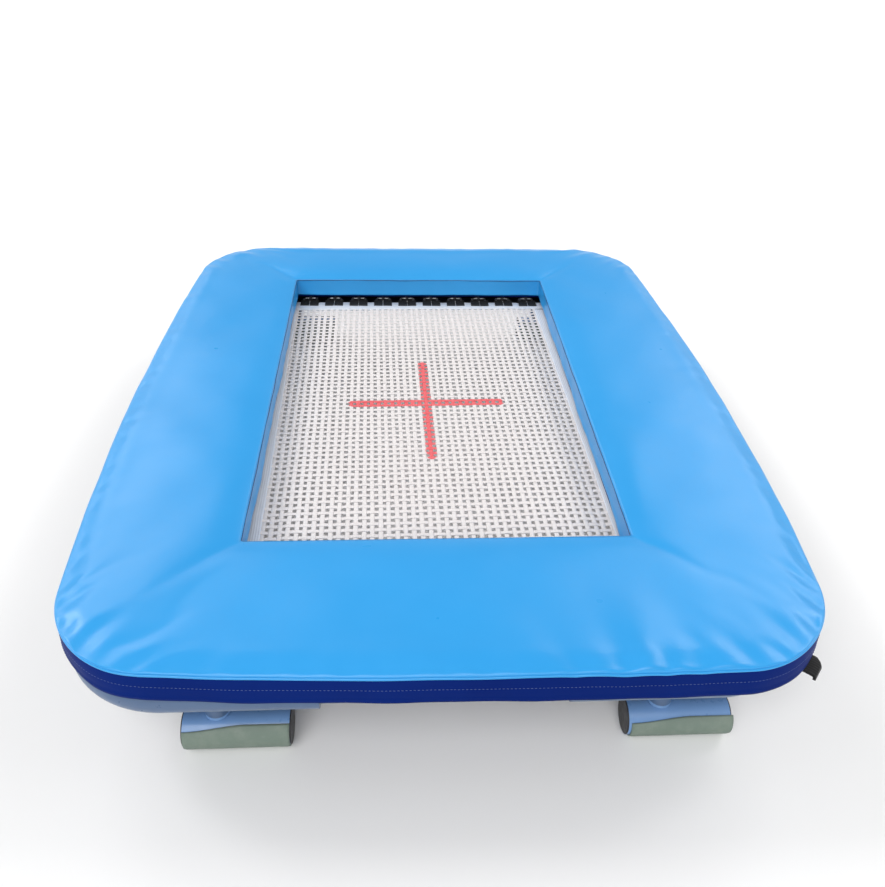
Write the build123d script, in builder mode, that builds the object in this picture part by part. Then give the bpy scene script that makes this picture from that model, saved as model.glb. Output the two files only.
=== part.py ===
from build123d import *
import os
from math import cos, degrees, radians, sin

# Rectangular gymnastics mini-trampoline, in millimetres.
# The origin is on the floor under the middle of the frame, +Z is up,
# X runs across the width and -Y is the front, where the wider board of padding is.

# Overall size of the padded ring, whose long sides bow outwards between its rounded corners
pad_width = 1200
pad_end_width = 1130
pad_length = 1510
pad_corner = 190
pad_top = 240
pad_bottom = 190.4
skin = 1.0

# Window in the padding, which the bed, the window and the centre cross share as their middle
bed_middle_y = 33.5
window_width = 638
window_length = 1010

# Outer seam and hanging skirt
bead_radius = 2.8
skirt_bottom = 187
skirt_wall = 1.2
foam_inset = 6
foam_gap = 0.2
valence_bottom = 195
seam_gap = 0.2

# Steel frame: two side rails, four bent corner tubes, and a thinner rail between them at each end
rail_radius = 24
rail_wall = 2
rail_x = 540
rail_y = 712
rail_z = 166
bend_radius = 140
straight_x = rail_x - bend_radius
straight_y = rail_y - bend_radius
rail_bore = rail_radius - rail_wall
end_rail_radius = 17
end_rail_half = 185
end_collar = 5

# Jumping bed of woven straps
bed_width = 700
bed_length = 989
bed_z = 177
web_thickness = 2.4
hem_width = 40
hem_thickness = 4
bed_front = bed_middle_y - bed_length / 2
bed_rear = bed_middle_y + bed_length / 2

# Bed rings and the webbing tabs that hold them
ring_pitch = 64
end_ring_count = 10
side_ring_count = 15
ring_wire = 2.5
ring_width = 34
ring_depth = 20
ring_corner = 5
tab_width = 24
tab_nose = 4.4
tab_hole = 2.8
tab_reach = 8

# Elastic cable loops and the lacing rods that they pull on
cable_radius = 4
loop_radius = 8.3
rod_radius = 4
rod_gap = 16
rod_x = rail_x - rail_radius - rod_gap
rod_y = rail_y - rail_radius - rod_gap
lacing_tab = 5
lacing_tab_height = 16

# Telescopic legs
leg_x = 345
leg_y = 663
foot_shift = 29
socket_radius = 19
socket_bore = 15.3
socket_bottom = 70
socket_top = 186
post_radius = 15
post_bore = 12
post_top = 184
collar_radius = 19
collar_height = 5.5
collar_gap = 0.3
cheek_thickness = 5
cheek_outer_y = 704
cheek_inner_y = 648
cheek_bottom = 142
cheek_top = 184

# Round feet in slit rubber sleeves
foot_y = 668
foot_z = 32
foot_radius = 30
foot_bore = 27.5
foot_length = 162
sleeve_wall = 3
sleeve_slit = 62
sleeve_shift = 4
post_notch = 1
plug_depth = 12
plug_flange = 2
plug_rim = 0.5
plug_fillet = 1

# Clamp screws on the inner side of each socket
screw_z = 98
screw_radius = 4
screw_bore = 4.3
boss_radius = 9
boss_length = 14
knob_radius = 20
knob_thickness = 16
knob_lobes = 5
knob_hub = 0.72 * knob_radius
knob_lobe = 0.32 * knob_radius
knob_fillet = 2
knob_gap = 4
screw_tip_gap = 0.3
screw_chamfer = 0.8

# Hook-and-loop straps that tie the padding to the frame
strap_width = 38
strap_gap = 0.3
strap_thickness = 1.7
strap_top_gap = 0.1

# Loose end of the strap at the front right corner
tail_turn = -36
tail_root = 168
tail_z = 164
tail_reach = 32
tail_thickness = 3
tail_dip = 0.15

os.makedirs("parts", exist_ok=True)

corners = {
    "front_left": (-1, -1),
    "front_right": (1, -1),
    "rear_left": (-1, 1),
    "rear_right": (1, 1),
}


def save(part, name):
    part.label = name
    export_step(part, f"parts/{name}.step")


def tube(length, radius, bore, plane):
    """A straight round tube, centred on the plane and running along its normal."""
    with BuildPart() as piece:
        with BuildSketch(plane):
            Circle(radius)
            Circle(bore, mode=Mode.SUBTRACT)
        extrude(amount=length / 2, both=True)
    return piece.part


def pad_outline(inset):
    """The padding's outline as a flat face: straight ends, bowed sides and rounded corners."""
    end_x = pad_end_width / 2 - inset
    middle_x = pad_width / 2 - inset
    end_y = pad_length / 2 - inset
    with BuildSketch() as face:
        with BuildLine():
            Line((-end_x, -end_y), (end_x, -end_y))
            ThreePointArc((end_x, -end_y), (middle_x, 0), (end_x, end_y))
            Line((end_x, end_y), (-end_x, end_y))
            ThreePointArc((-end_x, end_y), (-middle_x, 0), (-end_x, -end_y))
        make_face()
        fillet(face.vertices(), pad_corner - inset)
    return face.sketch


def ring_wall(inset, wall, bottom, top):
    """A wall that follows the padding's outline, its outer face inset by the given amount."""
    outer = pad_outline(inset)
    inner = pad_outline(inset + wall)
    with BuildPart() as piece:
        with BuildSketch(Plane.XY.offset(bottom)):
            add(outer)
            add(inner, mode=Mode.SUBTRACT)
        extrude(amount=top - bottom)
    return piece.part


def ring_sheet(outer_inset, window_margin, bottom, thickness):
    """A flat sheet with the padding's outline and its window."""
    outer = pad_outline(outer_inset)
    with BuildPart() as piece:
        with BuildSketch(Plane.XY.offset(bottom)):
            add(outer)
            with Locations((0, bed_middle_y)):
                Rectangle(
                    window_width + 2 * window_margin, window_length + 2 * window_margin, mode=Mode.SUBTRACT
                )
        extrude(amount=thickness)
    return piece.part


# Straight rails of the frame; the end rails have a collar at each end, welded onto a corner tube

for name, end in (("front_rail", -1), ("rear_rail", 1)):
    middle = Plane((0, end * rail_y, rail_z), z_dir=(1, 0, 0))
    with BuildPart() as end_rail:
        with BuildSketch(middle):
            Circle(end_rail_radius)
        extrude(amount=end_rail_half, both=True)
        for way in (-1, 1):
            with BuildSketch(Plane((way * end_rail_half, end * rail_y, rail_z), z_dir=(-way, 0, 0))):
                Circle(rail_radius)
            extrude(amount=end_collar)
        with BuildSketch(middle):
            Circle(end_rail_radius - rail_wall)
        extrude(amount=end_rail_half, both=True, mode=Mode.SUBTRACT)
    save(end_rail.part, name)

save(tube(2 * straight_y, rail_radius, rail_bore, Plane((-rail_x, 0, rail_z), z_dir=(0, 1, 0))), "left_rail")
save(tube(2 * straight_y, rail_radius, rail_bore, Plane((rail_x, 0, rail_z), z_dir=(0, 1, 0))), "right_rail")

# Corner tubes: a quarter turn from the side rail, then a straight run towards the middle of the end

for name, (side, end) in corners.items():
    start_angle = {(1, 1): 0, (-1, 1): 90, (-1, -1): 180, (1, -1): 270}[(side, end)]
    run = straight_x - end_rail_half
    run_x = side * (end_rail_half + run / 2)
    with BuildPart() as bend:
        with BuildSketch(Plane.XZ):
            with Locations((bend_radius, 0)):
                Circle(rail_radius)
                Circle(rail_bore, mode=Mode.SUBTRACT)
        revolve(axis=Axis.Z, revolution_arc=90)
    with BuildPart() as corner_tube:
        with Locations(Location((side * straight_x, end * straight_y, rail_z), (0, 0, start_angle))):
            add(bend.part)
        add(tube(run, rail_radius, rail_bore, Plane((run_x, end * rail_y, rail_z), z_dir=(1, 0, 0))))
    save(corner_tube.part, f"corner_bend_{name}")

# Lacing rods along the inner side of the rails, and the flat tabs that carry them

end_rod_half = (end_ring_count - 1) * ring_pitch / 2 + 15
side_rod_half = (side_ring_count - 1) * ring_pitch / 2 + 40

with BuildPart() as lacing_rods:
    for end in (-1, 1):
        with BuildSketch(Plane((0, end * rod_y, bed_z), z_dir=(1, 0, 0))):
            Circle(rod_radius)
        extrude(amount=end_rod_half, both=True)
    for side in (-1, 1):
        with BuildSketch(Plane((side * rod_x, bed_middle_y, bed_z), z_dir=(0, 1, 0))):
            Circle(rod_radius)
        extrude(amount=side_rod_half, both=True)
save(lacing_rods.part, "lacing_rods")

outer_tab_x = end_rod_half - lacing_tab / 2
inner_tab_x = 2 * ring_pitch
end_tab_places = (-outer_tab_x, -inner_tab_x, 0, inner_tab_x, outer_tab_x)
side_tab_places = [bed_middle_y + (i - 2.5) * 3 * ring_pitch for i in range(6)]
with BuildPart() as lacing_tabs:
    tab_length = rod_gap + rail_radius
    for end in (-1, 1):
        with Locations(*[(x, end * (rod_y + tab_length / 2), bed_z) for x in end_tab_places]):
            Box(lacing_tab, tab_length, lacing_tab_height)
    for side in (-1, 1):
        with Locations(*[(side * (rod_x + tab_length / 2), y, bed_z) for y in side_tab_places]):
            Box(tab_length, lacing_tab, lacing_tab_height)
    for end in (-1, 1):
        with BuildSketch(Plane((0, end * rail_y, rail_z), z_dir=(1, 0, 0))):
            Circle(end_rail_radius)
        extrude(amount=straight_x, both=True, mode=Mode.SUBTRACT)
        for way in (-1, 1):
            with BuildSketch(Plane((way * end_rail_half, end * rail_y, rail_z), z_dir=(way, 0, 0))):
                Circle(rail_radius)
            extrude(amount=straight_x - end_rail_half, mode=Mode.SUBTRACT)
        with BuildSketch(Plane((0, end * rod_y, bed_z), z_dir=(1, 0, 0))):
            Circle(rod_radius)
        extrude(amount=end_rod_half, both=True, mode=Mode.SUBTRACT)
    for side in (-1, 1):
        with BuildSketch(Plane((side * rail_x, 0, rail_z), z_dir=(0, 1, 0))):
            Circle(rail_radius)
        extrude(amount=straight_y, both=True, mode=Mode.SUBTRACT)
        with BuildSketch(Plane((side * rod_x, bed_middle_y, bed_z), z_dir=(0, 1, 0))):
            Circle(rod_radius)
        extrude(amount=side_rod_half, both=True, mode=Mode.SUBTRACT)
save(lacing_tabs.part, "lacing_tabs")

# Leg sockets stand between two cheek plates, which are welded to the rail

with BuildPart() as leg_sockets:
    with BuildSketch(Plane.XY.offset(socket_bottom)):
        with Locations(*[(side * leg_x, end * leg_y) for side, end in corners.values()]):
            Circle(socket_radius)
            Circle(socket_bore, mode=Mode.SUBTRACT)
    extrude(amount=socket_top - socket_bottom)
    with BuildSketch(Plane.XZ.offset(-(leg_y - post_radius))):
        with Locations(*[(side * leg_x, screw_z) for side in (-1, 1)]):
            Circle(screw_bore)
    extrude(amount=2 * (leg_y - post_radius), mode=Mode.SUBTRACT)
save(leg_sockets.part, "leg_sockets")

with BuildPart() as leg_cheeks:
    cheek_middle_y = (cheek_outer_y + cheek_inner_y) / 2
    cheek_offset = socket_radius + cheek_thickness / 2
    with Locations(
        *[
            (side * leg_x + way * cheek_offset, end * cheek_middle_y, (cheek_bottom + cheek_top) / 2)
            for side, end in corners.values()
            for way in (-1, 1)
        ]
    ):
        Box(cheek_thickness, cheek_outer_y - cheek_inner_y, cheek_top - cheek_bottom)
    for end in (-1, 1):
        with BuildSketch(Plane((0, end * rail_y, rail_z), z_dir=(1, 0, 0))):
            Circle(rail_radius)
        extrude(amount=straight_x, both=True, mode=Mode.SUBTRACT)
save(leg_cheeks.part, "leg_cheeks")

with BuildPart() as clamp_bosses:
    for side, end in corners.values():
        with BuildSketch(Plane((side * leg_x, end * leg_y, screw_z), x_dir=(1, 0, 0), z_dir=(0, -end, 0))):
            Circle(boss_radius)
            Circle(screw_bore, mode=Mode.SUBTRACT)
        extrude(amount=socket_radius + boss_length)
    with BuildSketch(Plane.XY.offset(socket_bottom)):
        with Locations(*[(side * leg_x, end * leg_y) for side, end in corners.values()]):
            Circle(socket_radius)
    extrude(amount=socket_top - socket_bottom, mode=Mode.SUBTRACT)
save(clamp_bosses.part, "clamp_bosses")

# Telescopic legs: post, round foot, end plugs and slit rubber sleeve

for name, (side, end) in corners.items():
    foot_x = side * leg_x + foot_shift
    with BuildPart() as post:
        with BuildSketch(Plane((side * leg_x, end * leg_y, foot_z))):
            Circle(post_radius)
            Circle(post_bore, mode=Mode.SUBTRACT)
        extrude(amount=post_top - foot_z)
        with BuildSketch(Plane((side * leg_x, end * leg_y, socket_bottom - collar_height - collar_gap))):
            Circle(collar_radius)
            Circle(post_bore, mode=Mode.SUBTRACT)
        extrude(amount=collar_height)
        with BuildSketch(Plane((foot_x, end * foot_y, foot_z), z_dir=(1, 0, 0))):
            Circle(foot_radius)
        extrude(amount=foot_length / 2, both=True, mode=Mode.SUBTRACT)
    upper_post = post.part.solids().sort_by(Axis.Z)[-1]
    save(Part(upper_post.wrapped), f"leg_post_{name}")

    foot_plane = Plane((foot_x, end * foot_y, foot_z), x_dir=(0, end, 0), z_dir=(1, 0, 0))
    save(tube(foot_length, foot_radius, foot_bore, foot_plane), f"foot_tube_{name}")

    with BuildPart() as plugs:
        for way in (-1, 1):
            outer = Plane((foot_x + way * foot_length / 2, end * foot_y, foot_z), z_dir=(way, 0, 0))
            with BuildSketch(outer):
                Circle(foot_radius - plug_rim)
            extrude(amount=plug_flange)
            with BuildSketch(outer):
                Circle(foot_bore)
            extrude(amount=-plug_depth)
        fillet(plugs.edges().group_by(Axis.X)[0], plug_fillet)
        fillet(plugs.edges().group_by(Axis.X)[-1], plug_fillet)
    save(plugs.part, f"foot_plugs_{name}")

    sleeve_radius = foot_radius + sleeve_wall
    slit_half = sin(radians(sleeve_slit / 2)) * 2 * sleeve_radius
    slit_rise = cos(radians(sleeve_slit / 2)) * 2 * sleeve_radius
    sleeve_middle = foot_x + (sleeve_shift if side > 0 else 0)
    with BuildPart() as sleeve:
        with BuildSketch(Plane((sleeve_middle, end * foot_y, foot_z), x_dir=(0, 1, 0), z_dir=(1, 0, 0))):
            Circle(sleeve_radius)
            Circle(foot_radius, mode=Mode.SUBTRACT)
            with BuildLine():
                Polyline((0, 0), (slit_half, slit_rise), (-slit_half, slit_rise), close=True)
            make_face(mode=Mode.SUBTRACT)
            with Locations((0, -foot_z - sleeve_radius)):
                Rectangle(2 * sleeve_radius, 2 * sleeve_radius, mode=Mode.SUBTRACT)
        extrude(amount=foot_length / 2, both=True)
        with BuildSketch(Plane((side * leg_x, end * leg_y, foot_z))):
            Circle(post_radius + post_notch)
        extrude(amount=sleeve_radius, mode=Mode.SUBTRACT)
    save(sleeve.part, f"foot_sleeve_{name}")

# Clamp screws, each with a lobed knob, point at the leg from the inner side

for name, (side, end) in corners.items():
    tip = Plane(
        (side * leg_x, end * (leg_y - post_radius - screw_tip_gap), screw_z),
        x_dir=(1, 0, 0),
        z_dir=(0, -end, 0),
    )
    knob_start = socket_radius - post_radius - screw_tip_gap + boss_length + knob_gap
    with BuildPart() as screw:
        with BuildSketch(tip):
            Circle(screw_radius)
        extrude(amount=knob_start)
        chamfer(screw.edges().sort_by(Axis.Y)[-1 if end > 0 else 0], screw_chamfer)
    save(screw.part, f"clamp_screw_{name}")

    with BuildPart() as knob:
        with BuildSketch(tip.offset(knob_start)):
            Circle(knob_hub)
            with PolarLocations(knob_radius - knob_lobe, knob_lobes):
                Circle(knob_lobe)
        extrude(amount=knob_thickness)
        fillet(knob.faces().sort_by(Axis.Y)[0 if end > 0 else -1].edges(), knob_fillet)
    save(knob.part, f"clamp_knob_{name}")

# Foam boards of the padding: an end board at the front and at the rear, and two side boards between

foam_top = pad_top - skin - foam_gap
foam_bottom = pad_bottom + skin + foam_gap
foam_clearance = 2
foam_front_edge = bed_middle_y - window_length / 2 - foam_clearance
foam_rear_edge = bed_middle_y + window_length / 2 + foam_clearance
foam_side_edge = window_width / 2 + foam_clearance


def foam_board(low_x, high_x, low_y, high_y):
    """The part of the padding's outline that lies between the given X and Y, as thick as the foam."""
    outline = pad_outline(foam_inset)
    with BuildPart() as board:
        with BuildSketch(Plane.XY.offset(foam_bottom)):
            add(outline)
            with Locations(((low_x + high_x) / 2, (low_y + high_y) / 2)):
                Rectangle(high_x - low_x, high_y - low_y, mode=Mode.INTERSECT)
        extrude(amount=foam_top - foam_bottom)
    return board.part


side_front_edge = foam_front_edge + foam_gap
side_rear_edge = foam_rear_edge - foam_gap
save(foam_board(-pad_width / 2, pad_width / 2, -pad_length / 2, foam_front_edge), "foam_front")
save(foam_board(-pad_width / 2, pad_width / 2, foam_rear_edge, pad_length / 2), "foam_rear")
save(foam_board(-pad_width / 2, -foam_side_edge, side_front_edge, side_rear_edge), "foam_left")
save(foam_board(foam_side_edge, pad_width / 2, side_front_edge, side_rear_edge), "foam_right")

# Cover of the padding, cut and sewn from coated cloth

top_inset = 0.6
base_inset = skirt_wall + top_inset
save(ring_sheet(top_inset, 0, pad_top - skin, skin), "cover_top")
save(ring_sheet(base_inset, 0, pad_bottom, skin), "cover_base")

bead_z = pad_top - skin - bead_radius - seam_gap
save(ring_wall(0, skirt_wall, skirt_bottom, bead_z - bead_radius), "cover_skirt")

with BuildPart() as valence:
    with BuildSketch(Plane.XY.offset(valence_bottom)):
        with Locations((0, bed_middle_y)):
            Rectangle(window_width + 2 * skirt_wall, window_length + 2 * skirt_wall)
            Rectangle(window_width, window_length, mode=Mode.SUBTRACT)
    extrude(amount=pad_top - skin - valence_bottom)
save(valence.part, "cover_valence")

bead_path = pad_outline(bead_radius).face().outer_wire().moved(Location((0, 0, bead_z)))
with BuildPart() as bead:
    with BuildSketch(Plane(bead_path @ 0, z_dir=bead_path % 0)):
        Circle(bead_radius)
    sweep(path=bead_path)
save(bead.part, "cover_bead")

# Straps that tie the padding to the rails: a U under the tube, its two ends sewn to the base sheet

strap_rise = pad_bottom - rail_z - strap_top_gap


def strap_profile(centre, tube_radius):
    """Draws the U section of a strap round a tube in the sketch that is open."""
    inner = tube_radius + strap_gap
    outer = inner + strap_thickness
    with Locations((centre, 0)):
        Circle(outer)
        Circle(inner, mode=Mode.SUBTRACT)
    with Locations((centre, outer)):
        Rectangle(2 * outer, 2 * outer, mode=Mode.SUBTRACT)
    leg_offset = inner + strap_thickness / 2
    with Locations((centre - leg_offset, strap_rise / 2), (centre + leg_offset, strap_rise / 2)):
        Rectangle(strap_thickness, strap_rise)


def straight_strap(tube_radius):
    """A strap round a straight tube that runs along Y."""
    with BuildPart() as strap:
        with BuildSketch(Plane.XZ.offset(-strap_width / 2)):
            strap_profile(0, tube_radius)
        extrude(amount=strap_width)
    return strap.part


end_strap = straight_strap(end_rail_radius)
side_strap = straight_strap(rail_radius)
end_strap_x = 160
side_strap_places = [bed_middle_y + i * 6 * ring_pitch for i in (-1, 0, 1)]
with BuildPart() as pad_straps:
    with Locations(*[Location((way * end_strap_x, rail_y, rail_z), (0, 0, 90)) for way in (-1, 1)]):
        add(end_strap)
    with Locations(
        *[Location((side * rail_x, y, rail_z)) for side in (-1, 1) for y in side_strap_places]
    ):
        add(side_strap)
save(pad_straps.part, "pad_straps")

corner_strap_arc = degrees(strap_width / bend_radius)
corner_turns = ((1, 1, 45), (-1, 1, 135), (-1, -1, 200), (1, -1, tail_turn))
with BuildPart() as corner_strap:
    with BuildSketch(Plane.XZ):
        strap_profile(bend_radius, rail_radius)
    revolve(axis=Axis.Z, revolution_arc=corner_strap_arc)

with BuildPart() as corner_straps:
    with Locations(
        *[
            Location((side * straight_x, end * straight_y, rail_z), (0, 0, turn - corner_strap_arc / 2))
            for side, end, turn in corner_turns
        ]
    ):
        add(corner_strap.part)
save(corner_straps.part, "corner_straps")

# Jumping bed: woven straps, a folded hem on each edge, wire rings in webbing tabs

with BuildPart() as bed_web:
    with BuildSketch(Plane.XY.offset(bed_z - web_thickness / 2)):
        with Locations((0, bed_middle_y)):
            Rectangle(bed_width - 2 * hem_width, bed_length - 2 * hem_width)
    extrude(amount=web_thickness)
save(bed_web.part, "bed_web")

with BuildPart() as bed_hem:
    with Locations(
        *[(side * (bed_width - hem_width) / 2, bed_middle_y, bed_z) for side in (-1, 1)]
    ):
        Box(hem_width, bed_length - 2 * hem_width - seam_gap, hem_thickness)
    with Locations(
        *[(0, bed_middle_y + end * (bed_length - hem_width) / 2, bed_z) for end in (-1, 1)]
    ):
        Box(bed_width, hem_width, hem_thickness)
save(bed_hem.part, "bed_hem")

# One ring and one tab, lying along +X with the edge of the bed at x = 0

with BuildPart() as ring:
    with BuildLine() as ring_line:
        FilletPolyline(
            (tab_reach, -ring_width / 2),
            (tab_reach + ring_depth, -ring_width / 2),
            (tab_reach + ring_depth, ring_width / 2),
            (tab_reach, ring_width / 2),
            radius=ring_corner,
            close=True,
        )
    with BuildSketch(Plane(ring_line.line @ 0, z_dir=ring_line.line % 0)):
        Circle(ring_wire)
    sweep()

with BuildPart() as ring_tab:
    with BuildSketch(Plane.XZ):
        with Locations((tab_reach, 0)):
            Circle(tab_nose)
        with Locations((tab_reach / 2, 0)):
            Rectangle(tab_reach, hem_thickness)
        with Locations((tab_reach, 0)):
            Circle(tab_hole, mode=Mode.SUBTRACT)
    extrude(amount=tab_width / 2, both=True)

end_places = [(i - (end_ring_count - 1) / 2) * ring_pitch for i in range(end_ring_count)]
side_places = [bed_middle_y + (i - (side_ring_count - 1) / 2) * ring_pitch for i in range(side_ring_count)]
edge_locations = [Location((x, bed_front, bed_z), (0, 0, -90)) for x in end_places]
edge_locations += [Location((x, bed_rear, bed_z), (0, 0, 90)) for x in end_places]
edge_locations += [Location((-bed_width / 2, y, bed_z), (0, 0, 180)) for y in side_places]
edge_locations += [Location((bed_width / 2, y, bed_z)) for y in side_places]

with BuildPart() as bed_rings:
    with Locations(*edge_locations):
        add(ring.part)
save(bed_rings.part, "bed_rings")

with BuildPart() as ring_tabs:
    with Locations(*edge_locations):
        add(ring_tab.part)
save(ring_tabs.part, "ring_tabs")

# Elastic cable loops, each round a lacing rod and through a bed ring

ring_bar = tab_reach + ring_depth


def cable_loops(span, places):
    """Upright loops of cable that reach from a ring bar to a lacing rod, in +X from each place."""
    with BuildPart() as loop:
        with BuildLine():
            Line((0, 0, loop_radius), (span, 0, loop_radius))
            ThreePointArc((span, 0, loop_radius), (span + loop_radius, 0, 0), (span, 0, -loop_radius))
            Line((span, 0, -loop_radius), (0, 0, -loop_radius))
            ThreePointArc((0, 0, -loop_radius), (-loop_radius, 0, 0), (0, 0, loop_radius))
        with BuildSketch(Plane((0, 0, loop_radius), z_dir=(1, 0, 0))):
            Circle(cable_radius)
        sweep()
    with BuildPart() as group:
        with Locations(*places):
            add(loop.part)
    return group.part


side_ring_x = bed_width / 2 + ring_bar
front_ring_y = bed_front - ring_bar
rear_ring_y = bed_rear + ring_bar
front_places = [Location((x, front_ring_y, bed_z), (0, 0, -90)) for x in end_places]
rear_places = [Location((x, rear_ring_y, bed_z), (0, 0, 90)) for x in end_places]
left_places = [Location((-side_ring_x, y, bed_z), (0, 0, 180)) for y in side_places]
right_places = [Location((side_ring_x, y, bed_z)) for y in side_places]

save(cable_loops(rod_y + front_ring_y, front_places), "front_cables")
save(cable_loops(rod_y - rear_ring_y, rear_places), "rear_cables")
save(cable_loops(rod_x - side_ring_x, left_places), "left_cables")
save(cable_loops(rod_x - side_ring_x, right_places), "right_cables")

# Loose tail of the strap at the front right corner, folded double and hanging out below the skirt

out_x = cos(radians(tail_turn))
out_y = sin(radians(tail_turn))
tail_plane = Plane(
    (straight_x + tail_root * out_x, -straight_y + tail_root * out_y, tail_z),
    x_dir=(-out_y, out_x, 0),
    z_dir=(out_x, out_y, -tail_dip),
)
with BuildPart() as strap_tail:
    with BuildSketch(tail_plane):
        Rectangle(strap_width, tail_thickness)
    extrude(amount=tail_reach)
save(strap_tail.part, "strap_tail")
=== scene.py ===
import math

import bmesh
import bpy
import numpy as np
from mathutils import Matrix, Vector


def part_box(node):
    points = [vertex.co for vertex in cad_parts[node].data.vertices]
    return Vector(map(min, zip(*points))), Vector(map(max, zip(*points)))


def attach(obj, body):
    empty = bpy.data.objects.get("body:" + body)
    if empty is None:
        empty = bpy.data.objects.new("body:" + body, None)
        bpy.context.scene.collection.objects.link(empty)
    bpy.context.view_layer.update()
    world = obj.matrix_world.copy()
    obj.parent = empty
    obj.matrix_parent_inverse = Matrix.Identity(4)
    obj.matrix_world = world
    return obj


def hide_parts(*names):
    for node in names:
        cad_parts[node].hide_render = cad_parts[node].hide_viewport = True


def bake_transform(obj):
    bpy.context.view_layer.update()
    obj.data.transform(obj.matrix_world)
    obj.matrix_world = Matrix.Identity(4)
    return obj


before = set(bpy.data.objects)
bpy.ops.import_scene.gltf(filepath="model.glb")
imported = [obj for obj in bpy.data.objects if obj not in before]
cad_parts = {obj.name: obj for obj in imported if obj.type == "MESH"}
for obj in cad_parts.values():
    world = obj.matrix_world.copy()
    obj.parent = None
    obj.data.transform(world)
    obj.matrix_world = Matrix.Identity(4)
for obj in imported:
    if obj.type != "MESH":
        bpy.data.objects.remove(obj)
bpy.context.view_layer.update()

# Rectangular gymnastics mini-trampoline. Metres, the floor is z = 0, the front is -Y.

MM = 0.001
UP = np.array([0.0, 0.0, 1.0])
CORNERS = {"front_left": (-1, -1), "front_right": (1, -1), "rear_left": (-1, 1), "rear_right": (1, 1)}

# Sizes and places, all from the frame

skirt_low, skirt_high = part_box("cover_skirt")
valence_low, valence_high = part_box("cover_valence")
hem_low, hem_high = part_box("bed_hem")
web_low, web_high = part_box("bed_web")
side_rail_low, side_rail_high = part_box("right_rail")
rear_rail_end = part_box("rear_rail")[1].y
pad_top_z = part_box("cover_top")[1].z
base_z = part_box("cover_base")[0].z

fabric_swell = 9.4 * MM
half_width = skirt_high.x + fabric_swell
half_length = skirt_high.y
corner_radius = 160 * MM
side_bow = 41 * MM
pad_shift = 8.8 * MM
seam_inset = 4.5 * MM
skirt_flare = 3.5 * MM
bed_turn = 0.0175
lip_wall = 1.2 * MM
sheet_wall = 0.9 * MM
hem_fold = 0.7 * MM
window_corner = 3 * MM
window_half_width = valence_high.x - lip_wall
window_half_length = (valence_high.y - valence_low.y) / 2 - lip_wall
middle_y = (valence_high.y + valence_low.y) / 2
seam_z = skirt_high.z + 1.2 * MM
skirt_bottom_z = skirt_low.z
bed_z = (web_low.z + web_high.z) / 2
hem_width = web_low.x - hem_low.x
tube_radius = (side_rail_high.z - side_rail_low.z) / 2
rail_z = (side_rail_high.z + side_rail_low.z) / 2

# Mesh helpers


def add_object(name, data):
    thing = bpy.data.objects.new(name, data)
    bpy.context.scene.collection.objects.link(thing)
    return thing


def new_piece(name, vertices, faces, material, smooth=True):
    mesh = bpy.data.meshes.new(name)
    mesh.from_pydata([tuple(map(float, v)) for v in vertices], [], [tuple(map(int, f)) for f in faces])
    mesh.validate()
    mesh.polygons.foreach_set("use_smooth", [smooth] * len(mesh.polygons))
    mesh.materials.append(material)
    return add_object(name, mesh)


def grid_faces(rows, columns, wrap_rows=False, wrap_columns=False, first=0):
    """Quads over a grid of points that is stored row by row."""
    r = np.arange(rows if wrap_rows else rows - 1)
    c = np.arange(columns if wrap_columns else columns - 1)
    r, c = np.meshgrid(r, c, indexing="ij")
    r2, c2 = (r + 1) % rows, (c + 1) % columns
    quads = np.stack([r * columns + c, r2 * columns + c, r2 * columns + c2, r * columns + c2], axis=-1)
    return quads.reshape(-1, 4) + first


def bake_modifiers(piece):
    """Puts the result of the piece's modifiers into its mesh."""
    graph = bpy.context.evaluated_depsgraph_get()
    mesh = bpy.data.meshes.new_from_object(piece.evaluated_get(graph))
    piece.modifiers.clear()
    old = piece.data
    piece.data = mesh
    bpy.data.meshes.remove(old)


def subdivide(piece, levels=1):
    modifier = piece.modifiers.new("subdivide", "SUBSURF")
    modifier.levels = modifier.render_levels = levels
    bake_modifiers(piece)


def thicken(piece, thickness, offset=-1.0):
    modifier = piece.modifiers.new("thicken", "SOLIDIFY")
    modifier.thickness = thickness
    modifier.offset = offset
    bake_modifiers(piece)
def face_up(sheet):
    """Turns an open sheet over if its first face looks down."""
    if sheet.data.polygons[0].normal.z < 0:
        sheet.data.flip_normals()


def face_out(piece):
    graph = bmesh.new()
    graph.from_mesh(piece.data)
    bmesh.ops.recalc_face_normals(graph, faces=graph.faces)
    graph.to_mesh(piece.data)
    graph.free()


def lay_uv(piece, uv):
    """Gives each corner of the mesh the UV of its vertex."""
    layer = piece.data.uv_layers.new(name="UVMap")
    loops = np.zeros(len(piece.data.loops), int)
    piece.data.loops.foreach_get("vertex_index", loops)
    layer.data.foreach_set("uv", uv[loops].astype(np.float32).reshape(-1))


def vertex_places(piece):
    return np.array([v.co for v in piece.data.vertices], float)


def path_directions(path):
    tangent = np.gradient(path, axis=0)
    return tangent / np.linalg.norm(tangent, axis=1, keepdims=True)


def belongs(piece, body, slot, *replaced):
    """Says which body the piece rides on and the CAD nodes that it replaces; slot is not used."""
    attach(piece, body)
    if replaced:
        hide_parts(*replaced)


def clusters(values, gap):
    """(middle, extent) of each group of values, where groups lie further apart than gap."""
    values = np.unique(np.round(values, 4))
    groups = np.split(values, np.flatnonzero(np.diff(values) > gap) + 1)
    return [((g.min() + g.max()) / 2, g.max() - g.min()) for g in groups]


def outline_length(half_x, half_y, radius):
    return 4 * (half_x + half_y - 2 * radius) + 2 * math.pi * radius


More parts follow.
